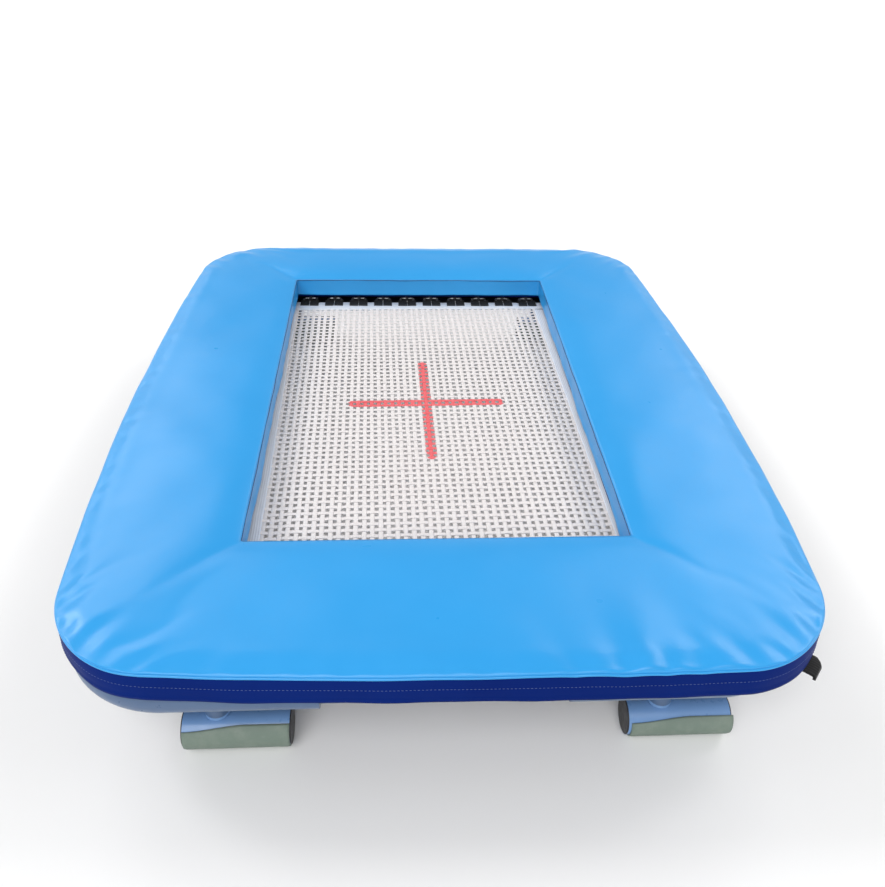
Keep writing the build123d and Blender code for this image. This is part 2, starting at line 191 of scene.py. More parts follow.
def outline(half_x, half_y, radius, centre_y, distance):
    """Points and outward normals on a rounded rectangle, by distance from the middle of its front edge."""
    distance = np.mod(distance, outline_length(half_x, half_y, radius))
    points, normals = np.zeros((len(distance), 2)), np.zeros((len(distance), 2))
    end_run, side_run, quarter = half_x - radius, 2 * (half_y - radius), math.pi / 2 * radius
    start, here = 0.0, np.array([0.0, centre_y - half_y])
    ways = np.array([(1, 0), (0, 1), (-1, 0), (0, -1), (1, 0)])
    for turn, (run, way) in enumerate(zip((end_run, side_run, 2 * end_run, side_run, end_run), ways)):
        outward = np.array([way[1], -way[0]])
        straight = (distance >= start - 1e-9) & (distance <= start + run + 1e-9)
        points[straight] = here + (distance[straight] - start)[:, None] * way
        normals[straight] = outward
        start += run
        centre = here + run * way - radius * outward
        arc = (distance >= start - 1e-9) & (distance <= start + quarter + 1e-9)
        angle = math.radians(90 * turn - 90) + (distance[arc] - start) / radius
        normals[arc] = np.stack([np.cos(angle), np.sin(angle)], axis=1)
        points[arc] = centre + radius * normals[arc]
        start += quarter
        here = centre + radius * way
    return points, normals

class PadOutline:
    """The padding's outline on the frame: bowed sides, a front that falls back towards the left."""

    def __init__(self):
        self.base_length = outline_length(half_width, half_length, corner_radius)
        self.base = np.linspace(0, self.base_length, 4001)
        points, _ = outline(half_width, half_length, corner_radius, 0.0, self.base)
        x = points[:, 0] * (1 - side_bow / half_width * (points[:, 1] / half_length) ** 2) + pad_shift
        fall_start, fall_band = 0.35, 0.30
        share = np.clip((-points[:, 1] - fall_start) / fall_band, 0, 1)
        share = share * share * (3 - 2 * share)
        foremost_x, left_fall, most_fall = 0.15, 18.5 * MM, 20.5 * MM
        fall = np.minimum(left_fall * ((x - foremost_x) / 0.55) ** 2, most_fall) - 2 * MM
        y = points[:, 1] + share * fall
        self.points = np.column_stack([x, y])
        self.points[-1] = self.points[0]
        step = np.linalg.norm(np.diff(self.points, axis=0), axis=1)
        self.distance = np.concatenate([[0], np.cumsum(step)])
        self.length = self.distance[-1]
        before, after = np.roll(self.points[:-1], 1, axis=0), np.roll(self.points[:-1], -1, axis=0)
        tangent = (after - before) / np.linalg.norm(after - before, axis=1, keepdims=True)
        normal = np.column_stack([tangent[:, 1], -tangent[:, 0]])
        self.normals = np.concatenate([normal, normal[:1]])
        self.area = 0.5 * abs(np.sum(x[:-1] * y[1:] - x[1:] * y[:-1]))

    def at(self, distance):
        """Points and outward normals, by distance along the outline from the middle of its front edge."""
        distance = np.mod(distance, self.length)
        points = np.stack([np.interp(distance, self.distance, self.points[:, k]) for k in (0, 1)], axis=1)
        normals = np.stack([np.interp(distance, self.distance, self.normals[:, k]) for k in (0, 1)], axis=1)
        return points, normals / np.linalg.norm(normals, axis=1, keepdims=True)

    def from_base(self, distance):
        """Turns a distance along the plain rounded rectangle into one along this outline, front = 0."""
        mapped = np.interp(np.mod(distance, self.base_length), self.base, self.distance)
        return np.where(mapped > self.length / 2, mapped - self.length, mapped)


def ripple(position, seed, waves):
    """A smooth random wave: waves is a list of (wavelength in metres, height in millimetres)."""
    random = np.random.RandomState(seed)
    total = np.zeros_like(position)
    for wavelength, height in waves:
        phase, stretch = random.uniform(0, 2 * math.pi), random.uniform(0.85, 1.15)
        total += height * MM * np.sin(2 * math.pi * position / (wavelength * stretch) + phase)
    return total


def closed_ripple(distance, length, seed, waves):
    """Like ripple, but the wave meets itself after one trip round a closed outline."""
    random = np.random.RandomState(seed)
    total = np.zeros_like(distance)
    for wavelength, height in waves:
        turns = max(1, round(length / wavelength * random.uniform(0.85, 1.15)))
        phase = random.uniform(0, 2 * math.pi)
        total += height * MM * np.sin(2 * math.pi * turns * distance / length + phase)
    return total


def field(x, y, seed, wavelength, height, count=7):
    """A smooth random surface over x and y."""
    random = np.random.RandomState(seed)
    total = np.zeros_like(x)
    for _ in range(count):
        angle, phase = random.uniform(0, math.pi), random.uniform(0, 2 * math.pi)
        k = 2 * math.pi / (wavelength * random.uniform(0.7, 1.5))
        total += np.sin(k * (x * math.cos(angle) + y * math.sin(angle)) + phase)
    return height * total / math.sqrt(count)


def near(position, centre, width):
    return np.exp(-(((position - centre) / width) ** 2))


def swept_ring(name, points, normals, sections, material):
    """A closed ring: sections holds the (outward, height) of each line that runs round it."""
    profiles = np.stack([np.stack(np.broadcast_arrays(*s), axis=1) for s in sections], axis=1)
    stations, sides = profiles.shape[:2]
    xy = points[:, None, :] + normals[:, None, :] * profiles[:, :, :1]
    vertices = np.concatenate([xy, profiles[:, :, 1:]], axis=2).reshape(-1, 3)
    return new_piece(name, vertices, grid_faces(stations, sides, True, True), material)


def bead(name, points, normals, outward, height, radius, sides, material):
    """A round cord that lies along a closed line."""
    angles = np.arange(sides) * 2 * math.pi / sides
    sections = [(outward + radius * math.cos(a), height + radius * math.sin(a)) for a in angles]
    return swept_ring(name, points, normals, sections, material)


def capsules(name, middles, directions, lifts, length, width, height, material):
    """Many small stitches in one mesh, each a rounded grain that lies along its direction."""
    ring_count, side_count = 4, 6
    along = np.linspace(-0.5, 0.5, ring_count)
    girth = np.array([0.35, 1.0, 1.0, 0.35])
    angle = np.arange(side_count) * 2 * math.pi / side_count
    middles = np.asarray(middles)
    directions, lifts = (np.broadcast_to(v, middles.shape) for v in (directions, lifts))
    across = np.cross(directions, lifts)
    vertices, faces = [], []
    for i, (middle, direction, lift, side) in enumerate(zip(middles, directions, lifts, across)):
        for a, g in zip(along, girth):
            ring = (
                middle + direction * a * length
                + np.outer(np.cos(angle) * g * width / 2, side)
                + np.outer(np.sin(angle) * g * height / 2, lift)
            )
            vertices.extend(ring)
        first = i * ring_count * side_count
        faces.extend(grid_faces(ring_count, side_count, False, True, first).tolist())
        faces.append([first + k for k in range(side_count)])
        last = first + (ring_count - 1) * side_count
        faces.append([last + k for k in reversed(range(side_count))])
    return new_piece(name, vertices, faces, material)


# Materials


class Nodes:
    """Short names for the shader nodes that the materials here use."""

    def __init__(self, name, color, roughness, metallic=0.0):
        self.material = bpy.data.materials.new(name)
        self.material.use_nodes = True
        self.tree = self.material.node_tree
        self.shader = self.tree.nodes["Principled BSDF"]
        self.set(Base_Color=(*color, 1), Roughness=roughness, Metallic=metallic)
        self.place = self.add("TexCoord").outputs["Object"]
        self.normal = None

    def link(self, source, target):
        self.tree.links.new(source, target)

    def feed(self, socket, value):
        """Gives a socket a plain value, or a link from another socket."""
        if isinstance(value, bpy.types.NodeSocket):
            self.link(value, socket)
        else:
            socket.default_value = value

    def add(self, kind, **inputs):
        node = self.tree.nodes.new("ShaderNode" + kind)
        for key, value in inputs.items():
            self.feed(node.inputs[key.replace("_", " ")], value)
        return node

    def scaled(self, scale, source=None):
        return self.add("Mapping", Scale=scale, Vector=source or self.place).outputs["Vector"]

    def noise(self, scale, detail=3.0, rough=0.55, stretch=None):
        vector = self.scaled(stretch) if stretch else self.place
        return self.add("TexNoise", Scale=scale, Detail=detail, Roughness=rough, Vector=vector).outputs["Fac"]

    def wave(self, scale, direction, distortion=0.0, source=None):
        node = self.add("TexWave", Scale=scale, Distortion=distortion, Vector=source or self.place)
        node.bands_direction = direction
        return node.outputs["Fac"]

    def voronoi(self, scale):
        return self.add("TexVoronoi", Scale=scale, Vector=self.place).outputs["Distance"]

    def remap(self, value, low, high, to_low=0.0, to_high=1.0):
        node = self.add("MapRange", From_Min=low, From_Max=high, To_Min=to_low, To_Max=to_high, Value=value)
        return node.outputs["Result"]

    def math(self, kind, a, b=None):
        node = self.add("Math")
        node.operation = kind
        for socket, value in zip(node.inputs, (a, b)):
            if value is not None:
                self.feed(socket, value)
        return node.outputs[0]

    def mix(self, amount, a, b):
        node = self.add("Mix")
        node.data_type = "RGBA"
        for socket, value in zip([s for s in node.inputs if s.type == "RGBA"], (a, b)):
            self.feed(socket, (*value, 1) if isinstance(value, tuple) else value)
        self.link(amount, node.inputs[0])
        return next(s for s in node.outputs if s.type == "RGBA")

    def axis(self, name):
        return self.add("SeparateXYZ", Vector=self.place).outputs[name]

    def color(self, source):
        self.link(source, self.shader.inputs["Base Color"])

    def roughness(self, source):
        self.link(source, self.shader.inputs["Roughness"])

    def mottle(self, scale, detail, low, high, light, dark):
        """Colours that drift between light and dark in patches."""
        self.color(self.mix(self.remap(self.noise(scale, detail), low, high), light, dark))

    def wear(self, scale, detail, least, most, low=0.3, high=0.7):
        """Roughness that drifts between least and most in patches."""
        self.roughness(self.remap(self.noise(scale, detail), low, high, least, most))

    def bump(self, height, strength, distance=0.001):
        node = self.add("Bump", Strength=strength, Distance=distance, Height=height)
        if self.normal is not None:
            self.link(self.normal, node.inputs["Normal"])
        self.normal = node.outputs["Normal"]
        self.link(self.normal, self.shader.inputs["Normal"])

    def set(self, **values):
        for key, value in values.items():
            self.shader.inputs[key.replace("_", " ")].default_value = value


def coated_cloth(name, light, dark, roughness, gloss):
    """PVC coated cloth: a soft gloss, a fine pressed grain, faint cloth threads and slight creases."""
    n = Nodes(name, light, roughness)
    n.mottle(3.2, 4.0, 0.35, 0.68, light, dark)
    n.wear(22.0, 2.0, roughness - 0.03, roughness + 0.05, 0.2, 0.8)
    n.bump(n.noise(7.0, 2.0), 0.25, 0.004)
    n.bump(n.wave(260.0, "X", 0.6), 0.035, 0.0004)
    n.bump(n.wave(260.0, "Y", 0.6), 0.035, 0.0004)
    n.bump(n.noise(1500.0, 2.0), 0.10, 0.0003)
    n.set(Specular_IOR_Level=gloss)
    return n.material


def enamel(name, light, dark, roughness):
    """Sprayed enamel on steel: faint orange peel, a few rubbed and dusty places."""
    n = Nodes(name, light, roughness)
    worn = n.remap(n.noise(55.0, 8.0, 0.72), 0.66, 0.74)
    base = n.mix(n.remap(n.noise(9.0, 4.0), 0.35, 0.7), light, dark)
    n.color(n.mix(worn, base, tuple(0.7 * c + 0.05 for c in light)))
    n.wear(80.0, 4.0, roughness - 0.05, roughness + 0.12)
    n.bump(n.noise(420.0, 2.0), 0.08, 0.0004)
    n.bump(n.noise(30.0, 3.0), 0.06, 0.001)
    n.set(Coat_Weight=0.25, Coat_Roughness=0.12)
    return n.material


def zinc(name):
    """Zinc plated steel: drawn lines and cloudy patches."""
    n = Nodes(name, (0.52, 0.53, 0.55), 0.34, 1.0)
    n.color(n.mix(n.remap(n.voronoi(120.0), 0.1, 0.6), (0.44, 0.45, 0.47), (0.6, 0.61, 0.63)))
    n.wear(90.0, 5.0, 0.26, 0.46)
    n.bump(n.noise(300.0, 3.0, 0.6, (1, 1, 6)), 0.12, 0.0004)
    return n.material


def rubber(name, light, dark, roughness=0.62):
    """Moulded rubber: dusty colour, tiny pits and mould drag."""
    n = Nodes(name, light, roughness)
    n.color(n.mix(n.remap(n.noise(24.0, 7.0, 0.7), 0.45, 0.8), light, dark))
    n.wear(70.0, 4.0, roughness - 0.1, roughness + 0.12)
    n.bump(n.noise(900.0, 3.0), 0.16, 0.0005)
    n.bump(n.noise(60.0, 2.0), 0.10, 0.001)
    return n.material


def moulded_plastic(name, tone):
    """Moulded plastic with a spark-eroded grain."""
    n = Nodes(name, tone, 0.5)
    n.mottle(40.0, 5.0, 0.4, 0.7, tone, tuple(t * 1.9 + 0.004 for t in tone))
    n.wear(120.0, 3.0, 0.42, 0.58)
    n.bump(n.voronoi(1400.0), 0.14, 0.0004)
    return n.material


def ribbed_strap(name, light, dark, ribs, marking=None):
    """Woven strap: its UV runs along it in u (metres) and across it in v (0 to 1)."""
    n = Nodes(name, light, 0.58)
    uv = n.add("TexCoord").outputs["UV"]
    across = n.wave(ribs / (2 * math.pi), "Y", 0.0, uv)
    along = n.wave(520.0 / math.pi, "X", 0.0, uv)
    weave = n.math("MULTIPLY", across, n.remap(along, 0.0, 1.0, 0.45, 1.0))
    soil = n.remap(n.noise(14.0, 6.0, 0.65), 0.4, 0.75)
    # Colour darkens in the weave's grooves: painted shade that follows the bump.
    shade = n.mix(n.remap(weave, 0.0, 0.7), dark, light)
    tired = n.mix(soil, shade, tuple(0.88 * c for c in light))
    n.color(marking(n, tired) if marking else tired)
    n.roughness(n.remap(weave, 0.0, 1.0, 0.72, 0.5))
    n.bump(weave, 0.55, 0.0004)
    n.bump(n.noise(1800.0, 2.0), 0.12, 0.0002)
    n.set(Sheen_Weight=0.04, Specular_IOR_Level=0.25)
    return n.material


def red_cross(n, base):
    """Dyes the centre cross into the straps: two arms with round ends."""
    x, y = n.axis("X"), n.axis("Y")
    edge = n.remap(n.noise(160.0, 3.0), 0.3, 0.7, -0.0016, 0.0016)

    def arm(along, across, middle, reach, half):
        beyond = n.math("SUBTRACT", n.math("ABSOLUTE", n.math("SUBTRACT", along, middle)), reach)
        past = n.math("MAXIMUM", beyond, 0.0)
        away = n.math("SQRT", n.math("ADD", n.math("POWER", past, 2.0), n.math("POWER", across, 2.0)))
        return n.remap(n.math("ADD", away, edge), half - 0.0012, half + 0.0012, 1.0, 0.0)

    offset = n.math("SUBTRACT", y, middle_y)
    across = n.math("ADD", x, n.math("MULTIPLY", offset, bed_turn))
    along = n.math("SUBTRACT", offset, n.math("MULTIPLY", x, bed_turn))
    wide = arm(across, along, 0.0, 0.157, 0.0125)
    long = arm(along, across, -0.015, 0.181, 0.0105)
    mark = n.math("MAXIMUM", wide, long)
    faded = n.math("MULTIPLY", mark, n.remap(n.noise(220.0, 4.0), 0.25, 0.75, 0.86, 1.0))
    return n.mix(faded, base, (0.74, 0.09, 0.105))


def thread(name, tone):
    n = Nodes(name, tone, 0.55)
    n.color(n.mix(n.noise(900.0, 2.0), tone, tuple(0.8 * t for t in tone)))
    n.bump(n.wave(900.0, "DIAGONAL"), 0.3, 0.0002)
    return n.material


def sheathed_cable(name):
    """Elastic cable in a braided textile sheath; u goes along it, v round it."""
    n = Nodes(name, (0.016, 0.016, 0.018), 0.6)
    uv = n.add("TexCoord").outputs["UV"]
    left = n.wave(1.0, "DIAGONAL", 0.0, n.scaled((520.0, 12.0, 0), uv))
    right = n.wave(1.0, "DIAGONAL", 0.0, n.scaled((520.0, -12.0, 0), uv))
    braid = n.math("MAXIMUM", left, right)
    # Colour darkens in the braid's grooves: painted shade that follows the bump.
    n.color(n.mix(n.remap(braid, 0.3, 1.0), (0.006, 0.006, 0.007), (0.03, 0.03, 0.034)))
    n.roughness(n.remap(braid, 0.0, 1.0, 0.75, 0.5))
    n.bump(braid, 0.6, 0.0005)
    return n.material


blue_vinyl = coated_cloth("blue_vinyl_look", (0.030, 0.318, 0.71), (0.025, 0.300, 0.68), 0.30, 0.42)
navy_vinyl = coated_cloth("navy_vinyl_look", (0.003, 0.018, 0.150), (0.0025, 0.014, 0.125), 0.42, 0.02)
steel_blue = enamel("steel_blue_look", (0.16, 0.30, 0.56), (0.14, 0.27, 0.51), 0.3)
# The rails' enamel is the feet's enamel darkened: painted shade for rails that lie under the padding. The
# real frame has one paint.
rail_painted_shade_blue = enamel("rail_painted_shade_blue_look", (0.07, 0.125, 0.235), (0.06, 0.11, 0.21), 0.32)
plated = zinc("plated_look")
green_rubber = rubber("green_rubber_look", (0.15, 0.20, 0.165), (0.21, 0.255, 0.215))
black_plastic = moulded_plastic("black_plastic_look", (0.016, 0.016, 0.018))
bed_webbing = ribbed_strap("bed_webbing_look", (0.84, 0.80, 0.79), (0.60, 0.56, 0.56), 8, red_cross)
hem_webbing = ribbed_strap("hem_webbing_look", (0.70, 0.75, 0.83), (0.50, 0.54, 0.62), 22)
black_webbing = ribbed_strap("black_webbing_look", (0.009, 0.009, 0.010), (0.003, 0.003, 0.003), 16)
pale_thread = thread("pale_thread_look", (0.10, 0.15, 0.34))
white_thread = thread("white_thread_look", (0.74, 0.74, 0.76))
dark_thread = thread("dark_thread_look", (0.03, 0.03, 0.033))
# Dark blue for the ridge at the window's fold: painted shade of the crease.
fold_shade_blue = thread("fold_shade_blue_look", (0.012, 0.07, 0.22))
black_cable = sheathed_cable("black_cable_look")
# Near-black cloth for the strip under the bed's edge: painted shade.
painted_shade_cloth = coated_cloth("painted_shade_cloth_look", (0.010, 0.010, 0.011), (0.006, 0.006, 0.007), 0.6, 0.2)

# Padding: top skin, simulated as cloth that is sewn down along its two edges

pad_edge = PadOutline()
pad_outline = pad_edge.length


def seam_drop(distance):
    """How far the outer seam wanders up and down."""
    wander = closed_ripple(distance, pad_outline, 11, [(0.9, 0.5), (0.33, 0.35), (0.12, 0.25)])
    tucks = np.zeros_like(distance)
    distance = np.where(distance > pad_outline / 2, distance - pad_outline, distance)
    sewn_tucks = ((0.165, 1.1, 0.011), (0.235, 2.0, 0.02), (0.295, 1.4, 0.012), (0.345, 1.7, 0.018))
    for place, depth, width in sewn_tucks:
        tucks += depth * MM * near(distance, place, width)
    return wander - tucks


def seam_reach(distance):
    """How far the outer seam wanders in and out."""
    wander = closed_ripple(distance, pad_outline, 12, [(1.3, 1.2), (0.45, 0.7), (0.16, 0.35)])
    return wander - seam_inset


def make_top_skin():
    """A grid from the window's edge out to the seam: crowned, puckered near the front, rolled at its rim."""
    counts = (100, 150, 100, 150)
    diagonal = half_width - corner_radius + corner_radius * math.pi / 4
    front_length = 2 * diagonal
    side_length = 2 * (half_length - corner_radius + corner_radius * math.pi / 4)
    x, y = window_half_width, window_half_length
    inner_corners = [(-x, middle_y - y), (x, middle_y - y), (x, middle_y + y), (-x, middle_y + y)]
    starts = np.cumsum([-diagonal, front_length, side_length, front_length])
    lengths = (front_length, side_length, front_length, side_length)
    inner, distance = [], []
    for k, count in enumerate(counts):
        t = np.arange(count) / count
        a, b = np.array(inner_corners[k]), np.array(inner_corners[(k + 1) % 4])
        inner.append(a + t[:, None] * (b - a))
        distance.append(starts[k] + t * lengths[k])
    inner, distance = np.concatenate(inner), pad_edge.from_base(np.concatenate(distance))
    outer, normal = pad_edge.at(distance)

    roll_in = 9.5 * MM
    outer_edge = outer - normal * (roll_in + seam_inset)
    rows = 34
    share = np.linspace(0.0, 1.0, rows)
    flat = inner[:, None, :] + share[None, :, None] * (outer_edge - inner)[:, None, :]
    band = np.linalg.norm(outer_edge - inner, axis=1)[:, None]
    from_inner, from_outer = share[None, :] * band, (1 - share[None, :]) * band
    crown = 2.2 * MM * np.sin(math.pi * share[None, :]) ** 0.8
    lip_round = -2.2 * MM * np.exp(-from_inner / (4 * MM))
    x, y = flat[..., 0], flat[..., 1]
    soft = field(x, y, 21, 0.34, 1.3 * MM) + field(x, y, 22, 0.15, 0.5 * MM)
    soft *= np.clip(from_inner / 0.05, 0, 1)
    shoulder = 2.4 * MM * np.exp(-((from_outer - 16 * MM) / (20 * MM)) ** 2)
    slope = 6.5 * MM * near(distance, -0.60, 0.17) + 4.0 * MM * near(distance, 0.62, 0.14)
    slope = slope[:, None] * np.exp(-((from_outer / (24 * MM)) ** 2))
    z = pad_top_z + crown + lip_round + soft + shoulder - slope
    pucker = np.zeros_like(z)
    for place, lean, depth, width, reach in (
        (0.165, 0.2, 2.2, 0.011, 0.05),
        (0.235, -0.35, 4.4, 0.016, 0.10),
        (0.270, -0.6, -2.6, 0.012, 0.07),
        (0.297, -0.5, 3.8, 0.010, 0.06),
        (0.345, -0.45, 5.2, 0.020, 0.15),
        (0.385, -0.2, -2.2, 0.013, 0.05),
        (-0.36, 0.3, 1.3, 0.03, 0.06),
    ):
        line = distance[:, None] + lean * from_outer
        pucker -= depth * MM * near(line, place, width + 0.25 * from_outer) * np.exp(-from_outer / reach)
    small = closed_ripple(distance, pad_outline, 31, [(0.045, 0.30), (0.07, 0.35)])
    pucker += small[:, None] * np.exp(-from_outer / (18 * MM))
    z = z + pucker
    vertices = np.concatenate([flat, z[..., None]], axis=2)

    roll_x, roll_z = 10.5 * MM, 5.5 * MM
    reach, drop = seam_reach(distance), seam_drop(distance)
    rolls = []
    for angle in np.radians((62, 38, 14, -10, -34)):
        out = -roll_in + roll_x * math.cos(angle)
        blend = 1 - math.sin(angle) if angle > 0 else 1.0
        height = (seam_z + 3.2 * MM + drop + roll_z * math.sin(angle)) * blend + z[:, -1] * (1 - blend)
        xy = outer + normal * (out + reach)[:, None]
        rolls.append(np.concatenate([xy, height[:, None]], axis=1))
    vertices = np.concatenate([vertices, np.stack(rolls, axis=1)], axis=1)
    stations, columns = vertices.shape[:2]
    faces = grid_faces(stations, columns, True, False)
    skin = new_piece("pad_top_skin", vertices.reshape(-1, 3), faces, blue_vinyl)
    face_up(skin)
    return skin, stations, columns, distance


def simulate_skin(skin, stations, columns, distance):
    """Sews the skin down along both edges, lets a little air and spare cloth swell it, then stills it."""
    before = vertex_places(skin)
    column = np.tile(np.arange(columns), stations)
    sewn = skin.vertex_groups.new(name="sewn")
    for edge_columns, weight in (((0, columns - 1), 1.0), ((1, columns - 2), 0.4)):
        for c in edge_columns:
            sewn.add(np.flatnonzero(column == c).tolist(), weight, "REPLACE")
    spare = skin.vertex_groups.new(name="spare")
    places = np.repeat(distance, columns)
    amount = 0.05 + 0.95 * np.maximum(near(places, 0.26, 0.11), 0.3 * near(places, -0.40, 0.10))
    amount *= np.clip((column - columns * 0.45) / (columns * 0.5), 0, 1)
    for level in np.unique(np.round(amount, 1)):
        spare.add(np.flatnonzero(np.round(amount, 1) == level).tolist(), float(level), "REPLACE")
    cloth = skin.modifiers.new("cloth", "CLOTH")
    settings = cloth.settings
    settings.quality = 6
    settings.mass = 0.35
    settings.tension_stiffness = settings.compression_stiffness = 25
    settings.shear_stiffness = 12
    settings.bending_stiffness = 1.2
    settings.use_pressure = True
    settings.uniform_pressure_force = 0.6
    settings.effector_weights.gravity = 0
    settings.vertex_group_mass = "sewn"
    settings.vertex_group_shrink = "spare"
    settings.shrink_min = 0.0
    settings.shrink_max = -0.035
    cloth.collision_settings.use_collision = False
    steps = 20
    scene = bpy.context.scene
    scene.frame_start = 1
    scene.frame_end = cloth.point_cache.frame_end = steps
    for step in range(1, steps + 1):
        scene.frame_set(step)
    bake_modifiers(skin)
    after = vertex_places(skin)
    move = after - before
    size = np.linalg.norm(move, axis=1, keepdims=True)
    cap = 6 * MM
    move *= cap * np.tanh(size / cap) / np.maximum(size, 1e-9)
    skin.data.vertices.foreach_set("co", (before + move).reshape(-1))
    skin.vertex_groups.clear()
    scene.frame_set(1)


top_skin, skin_stations, skin_columns, skin_distance = make_top_skin()
simulate_skin(top_skin, skin_stations, skin_columns, skin_distance)
subdivide(top_skin)
thicken(top_skin, 1.0 * MM)
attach(top_skin, "frame")
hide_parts("cover_top", "foam_front", "foam_rear", "foam_left", "foam_right")

# Piping, skirt, valence and underside of the padding

ring_distance = np.linspace(0, pad_outline, 1000, endpoint=False)
ring_points, ring_normals = pad_edge.at(ring_distance)
ring_reach, ring_drop = seam_reach(ring_distance), seam_drop(ring_distance)
window = (window_half_width, window_half_length, window_corner)
window_length = outline_length(*window)
window_distance = np.linspace(0, window_length, 720, endpoint=False)
window_points, window_normals = outline(*window, middle_y, window_distance)


def make_piping():
    outward, height = ring_reach - 0.6 * MM, seam_z - 1.0 * MM + ring_drop
    piping = bead("pad_piping", ring_points, ring_normals, outward, height, 2.3 * MM, 10, blue_vinyl)
    belongs(piping, "frame", "blue_vinyl", "cover_bead")


def make_window_seam():
    """The sewn ridge where the padding's top turns down into the window; its dark colour is painted shade in
    the fold's crease.
    """
    wander = closed_ripple(window_distance, window_length, 53, [(0.3, 0.35), (0.09, 0.2)])
    outward, height = wander - 0.7 * MM, wander + pad_top_z - 3.4 * MM
    seam = bead("window_seam", window_points, window_normals, outward, height, 0.75 * MM, 8, fold_shade_blue)
    belongs(seam, "frame", "navy_vinyl")


def sheet_sections(line, steps, hem_start, side):
    """Sections of a hanging sheet: down the face with the folded hem, then back up the other face."""
    sections = []
    for down in steps:
        outward, height = line(down)
        fold = hem_fold if down > hem_start else 0.0
        sections.append((outward + side * (sheet_wall / 2 + fold), height))
    for down in reversed(steps):
        outward, height = line(down)
        sections.append((outward - side * sheet_wall / 2, height))
    return sections


def skirt_line(down):
    """(outward, height) of the skirt's middle surface: down goes from 0 at the seam to 1 at the hem."""
    top = seam_z - 3.2 * MM + ring_drop
    bottom = skirt_bottom_z + closed_ripple(ring_distance, pad_outline, 41, [(0.8, 0.7), (0.25, 0.4)])
    bottom = bottom - 3.5 * MM * near(ring_distance, 0.42, 0.22)
    height = top + (bottom - top) * down
    belly = 1.6 * MM * math.sin(math.pi * down)
    wave = closed_ripple(ring_distance, pad_outline, 42, [(0.5, 0.9), (0.21, 0.6), (0.09, 0.35)])
    outward = ring_reach - 1.2 * MM + belly + (wave + skirt_flare) * down
    return outward, height


def make_skirt():
    steps = [0.0, 0.06, 0.14, 0.25, 0.36, 0.48, 0.60, 0.72, 0.80, 0.86, 0.93, 1.0]
    hem_start = 0.82
    sections = sheet_sections(skirt_line, steps, hem_start, 1)
    skirt = swept_ring("pad_skirt", ring_points, ring_normals, sections, navy_vinyl)
    belongs(skirt, "frame", "navy_vinyl", "cover_skirt")

    places = np.arange(0, pad_outline, 5.6 * MM)
    points, normals = pad_edge.at(places)
    directions = np.column_stack([-normals[:, 1], normals[:, 0], np.zeros(len(places))])
    lifts = np.column_stack([normals, np.zeros(len(places))])
    seams = (("skirt_stitches", 0.42, pale_thread), ("skirt_hem_stitches", 0.88, navy_vinyl))
    for name, down, material in seams:
        outward, height = skirt_line(down)
        out = np.interp(places, ring_distance, outward) + sheet_wall / 2 + 0.1 * MM
        out += hem_fold if down > hem_start else 0.0
        z = np.interp(places, ring_distance, height)
        middles = np.column_stack([points + normals * out[:, None], z])
        stitches = capsules(name, middles, directions, lifts, 3.4 * MM, 0.7 * MM, 0.5 * MM, material)
        belongs(stitches, "frame", "navy_vinyl")


def make_valence():
    top_z, bottom_z = pad_top_z - 2.0 * MM, valence_low.z
    wave = closed_ripple(window_distance, window_length, 51, [(0.42, 1.0), (0.17, 0.7), (0.06, 0.3)])
    bottom = bottom_z + closed_ripple(window_distance, window_length, 52, [(0.5, 0.8), (0.14, 0.4)])

    def line(down):
        outward = 0.6 * MM + wave * down + 1.2 * MM * math.sin(math.pi * down)
        return outward, top_z + (bottom - top_z) * down

    sections = sheet_sections(line, [0.0, 0.05, 0.12, 0.3, 0.5, 0.68, 0.8, 0.87, 0.94, 1.0], 0.84, -1)
    valence = swept_ring("pad_valence", window_points, window_normals, sections, blue_vinyl)
    valence.data.flip_normals()
    belongs(valence, "frame", "blue_vinyl", "cover_valence")


def make_underside():
    """Underside sheet: it sags a little between the rails and the window, with a sewn outer edge."""
    count, clear = 400, 1.6 * MM
    distance = np.linspace(0, pad_outline, count, endpoint=False)
    outer, normal = pad_edge.at(distance)
    outer = outer - normal * (seam_inset + 1.5 * MM)
    inner, _ = outline(window_half_width + clear, window_half_length + clear, window_corner, middle_y,
                       distance * window_length / pad_outline)
    share = np.linspace(0, 1, 26)
    flat = inner[:, None, :] + share[None, :, None] * (outer - inner)[:, None, :]
    z = base_z + 0.9 * MM + 0.45 * MM * np.sin(math.pi * share)[None, :]
    z = z + np.abs(field(flat[..., 0], flat[..., 1], 61, 0.12, 0.5 * MM))
    vertices = np.concatenate([flat, z[..., None]], axis=2).reshape(-1, 3)
    sheet = new_piece("pad_underside", vertices, grid_faces(count, len(share), True, False), navy_vinyl)
    face_up(sheet)
    thicken(sheet, sheet_wall)
    belongs(sheet, "frame", "navy_vinyl", "cover_base")


make_piping()
make_window_seam()
make_skirt()
make_valence()
make_underside()

# Jumping bed: straps that pass over and under each other, hem, stitches, tabs

strap_gap_x = 14.7 * MM
strap_gap_y = 16.1 * MM
strap_width = 8.1 * MM
strap_thick = 0.6 * MM
weave_rise = 0.42 * MM


